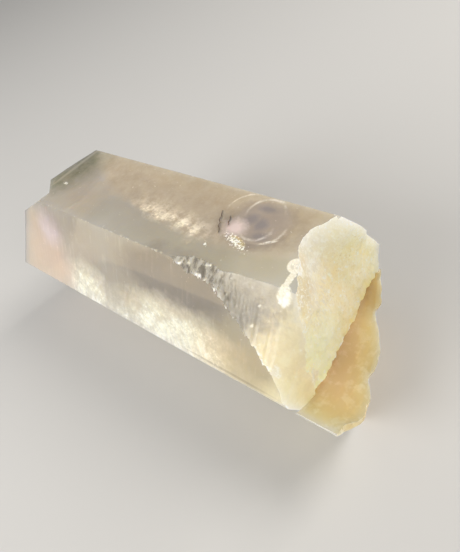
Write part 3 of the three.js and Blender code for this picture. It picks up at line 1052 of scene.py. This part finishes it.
# Each veil's name, middle, reach along and across, how much of it is filled, and its seed
for name, middle, along, across, coverage, seed in [
    ("low_front_veil", (54, -15.2, 3.4), (23, 0, 0), (0, 2.1, 3.9), 0.32, 3),
    ("left_front_veil", (30, -15.4, 3.2), (6, 0, 0.5), (0, 2.1, 3.9), 0.25, 4),
    ("upper_veil", (48, 0.0, 15.2), (15, -4, 0), (0, 5.5, 0), 0.3, 8),
]:
    veil(name, Vector(middle), Vector(along), Vector(across), coverage, seed)

# ------------------------------------------------------------
# Round crack
# Close under the top face, a blow left a round shell-shaped crack with ripples, rosy and gold where
# its thin air film shows colours.
# ------------------------------------------------------------
crack_film = bpy.data.materials.new("thin_crack_film")
crack_film.use_nodes = True
crack_nodes, crack_links = crack_film.node_tree.nodes, crack_film.node_tree.links
thin = crack_nodes["Principled BSDF"]
thin.inputs["Roughness"].default_value = 0.3
glaze = crack_nodes.new("ShaderNodeVertexColor")
glaze.layer_name = "glaze"
crack_links.new(glaze.outputs["Color"], thin.inputs["Base Color"])

CRACK_MIDDLE = Vector((68.4, 3.9, 16.2))
CRACK_RADIUS, CRACK_SQUASH = 6.2, 0.85
HOLE_RADIUS = 0.3
FILM_THICKNESS = 0.05
BEIGE, GREY, SLATE = Vector((1.0, 0.93, 0.79)), Vector((0.88, 0.83, 0.78)), Vector((0.56, 0.52, 0.55))
ROSE, GOLD, PALE = Vector((0.97, 0.83, 0.82)), Vector((0.98, 0.68, 0.26)), Vector((1.0, 0.96, 0.88))
# Ripples as circles: middle, radius, and the side where each shows, as a direction and a reach
RIPPLES = [
    ((-0.8, 2.4), 3.9, 115, 80),
    ((-0.5, -0.7), 3.25, -60, 110),
    ((-3.6, 1.4), 5.6, 160, 45),
    ((-0.2, 0.4), 5.3, -30, 50),
]
# Dark blotches: middle, and half the size along and across
BLOTCHES = [
    ((-2.5, 0.6), 1.5, 1.3),
    ((-1.2, 4.0), 2.2, 0.9),
    ((1.5, -3.0), 1.9, 1.0),
    ((0.3, -0.2), 1.2, 1.6),
]


def set_glaze(mesh, tints):
    """Gives each point of a film its colour."""
    layer = mesh.attributes.new("glaze", "FLOAT_COLOR", "POINT")
    for item, tint in zip(layer.data, tints):
        item.color = (*tint, 1)


def crack_tint(x, y):
    """The film's colour at a place measured from the middle of the crack."""
    fleck = noise.fractal(Vector((x, y, 3)) * 1.1, 0.7, 2.1, 4)
    inside = max(0.0, 1 - math.hypot(x + 0.6, y - 0.6) / 5.6)
    tint = BEIGE.lerp(GREY, min(1.0, inside * 3.0))
    for (bx, by), across, high in BLOTCHES:
        slate = 1.3 * swell((x - bx) / across, (y - by) / high) + 0.4 * fleck
        tint = tint.lerp(SLATE, min(0.9, max(0.0, slate)) if inside else 0)
    rose = 1.3 * swell((x + 4.3) / 1.9, (y + 2.3) / 1.7) + 0.5 * fleck
    tint = tint.lerp(ROSE, clamped(rose) if inside else 0)
    for (cx, cy), radius, side, reach in RIPPLES:
        off = math.hypot(x - cx, y - cy) - radius + 0.25 * fleck
        turn = (math.degrees(math.atan2(y - cy, x - cx)) - side + 180) % 360 - 180
        tint = tint.lerp(PALE, 0.9 * swell(off / 0.22, turn / reach) * clamped(0.8 + 1.2 * fleck))
    tint = tint.lerp(PALE, swell((x - 3.9) / 1.3, (y + 3.7 - 0.35 * (x - 3.9)) / 0.35))
    tint = tint.lerp(GOLD, min(1.0, 1.3 * swell((x + 1.6) / 0.7, (y + 4.8) / 0.45)))
    return tint


shell = bmesh.new()
rows, tints = [], []
STEPS_OUT, STEPS_ROUND = 56, 180
for i in range(STEPS_OUT + 1):
    r = HOLE_RADIUS + (CRACK_RADIUS - HOLE_RADIUS) * i / STEPS_OUT
    row = []
    for j in range(STEPS_ROUND):
        angle = 2 * math.pi * j / STEPS_ROUND
        flat = Vector((math.cos(angle), math.sin(angle) * CRACK_SQUASH, 0)) * r
        ripple = 0.08 * math.cos(2 * math.pi * r / 1.55) + 0.15 * noise.noise(flat * 0.45)
        flat.z = ripple + 0.04 * flat.x - 0.05 * flat.y - 0.008 * r * r
        row.append(shell.verts.new(CRACK_MIDDLE + flat))
        tints.append(crack_tint(flat.x, flat.y))
    rows.append(row)
for i in range(STEPS_OUT):
    for j in range(STEPS_ROUND):
        k = (j + 1) % STEPS_ROUND
        shell.faces.new((rows[i][j], rows[i][k], rows[i + 1][k], rows[i + 1][j]))
shell.verts.index_update()
crack_mesh = bpy.data.meshes.new("round_crack")
shell.to_mesh(crack_mesh)
shell.free()
set_glaze(crack_mesh, tints)
thickened = bmesh.new()
thickened.from_mesh(crack_mesh)
bmesh.ops.solidify(thickened, geom=thickened.faces, thickness=FILM_THICKNESS)
bmesh.ops.delete(thickened, geom=[v for v in thickened.verts if not v.link_faces], context="VERTS")
for face in thickened.faces:
    face.smooth = True
thickened.to_mesh(crack_mesh)
thickened.free()
set_in_stone("round_crack", crack_mesh, crack_film)

# ------------------------------------------------------------
# Floor, light and camera
# A sheet of pale paper carries the crystal. Three soft lamps and an even room light it, and the
# camera looks down on its near end.
# ------------------------------------------------------------
FLOOR_REACH = 2
floor_mesh = bpy.data.meshes.new("floor")
floor_corners = [(x * FLOOR_REACH, y * FLOOR_REACH, 0) for x, y in ((-1, -1), (1, -1), (1, 1), (-1, 1))]
floor_mesh.from_pydata(floor_corners, [], [(0, 1, 2, 3)])
floor = new_object("floor", floor_mesh)
paper = bpy.data.materials.new("pale_paper")
paper.use_nodes = True
sheet_look = paper.node_tree.nodes["Principled BSDF"]
sheet_look.inputs["Base Color"].default_value = (0.60, 0.595, 0.585, 1)
sheet_look.inputs["Roughness"].default_value = 0.9
floor_mesh.materials.append(paper)

world = bpy.data.worlds.new("studio")
bpy.context.scene.world = world
bpy.context.scene.view_settings.view_transform = "Standard"
world.use_nodes = True
room = world.node_tree.nodes["Background"]
room.inputs["Color"].default_value = (1.0, 0.99, 0.97, 1)
room.inputs["Strength"].default_value = 0.32

LAMP_AIM = Vector((0, 0, 0.015))
# Soft lamps: name, place, width, power and colour
for name, place, size, power, colour in [
    ("key", (0.16, 0.30, 0.34), 0.22, 1.35, (1.0, 0.96, 0.90)),
    ("fill", (-0.16, -0.36, 0.22), 0.30, 1.6, (1.0, 0.98, 0.95)),
    ("side", (0.40, -0.06, 0.24), 0.20, 0.28, (1.0, 0.97, 0.92)),
]:
    lamp = bpy.data.lights.new(name, "AREA")
    lamp.size = size
    lamp.energy = power
    lamp.color = colour
    light = new_object(name, lamp)
    light.location = place
    light.rotation_euler = (LAMP_AIM - Vector(place)).to_track_quat("-Z", "Y").to_euler()

CAMERA_TURN, CAMERA_HEIGHT, CAMERA_ROLL = 55.24, 47.94, 24.72
CAMERA_DISTANCE = 0.13466
CAMERA_LENS, CAMERA_SENSOR = 30.07, 36
CAMERA_TARGET = Vector((-0.0079, 0.0121, -0.0078))
camera_data = bpy.data.cameras.new("camera")
camera_data.sensor_width = CAMERA_SENSOR
camera_data.lens = CAMERA_LENS
camera_data.clip_start = 0.005
camera = new_object("camera", camera_data)
turn, height = math.radians(CAMERA_TURN), math.radians(CAMERA_HEIGHT)
back = Vector((math.sin(turn) * math.cos(height), -math.cos(turn) * math.cos(height), math.sin(height)))
camera.location = CAMERA_TARGET + back * CAMERA_DISTANCE
camera.rotation_mode = "QUATERNION"
roll = Quaternion((0, 0, 1), -math.radians(CAMERA_ROLL))
camera.rotation_quaternion = (-back).to_track_quat("-Z", "Y") @ roll
bpy.context.scene.camera = camera
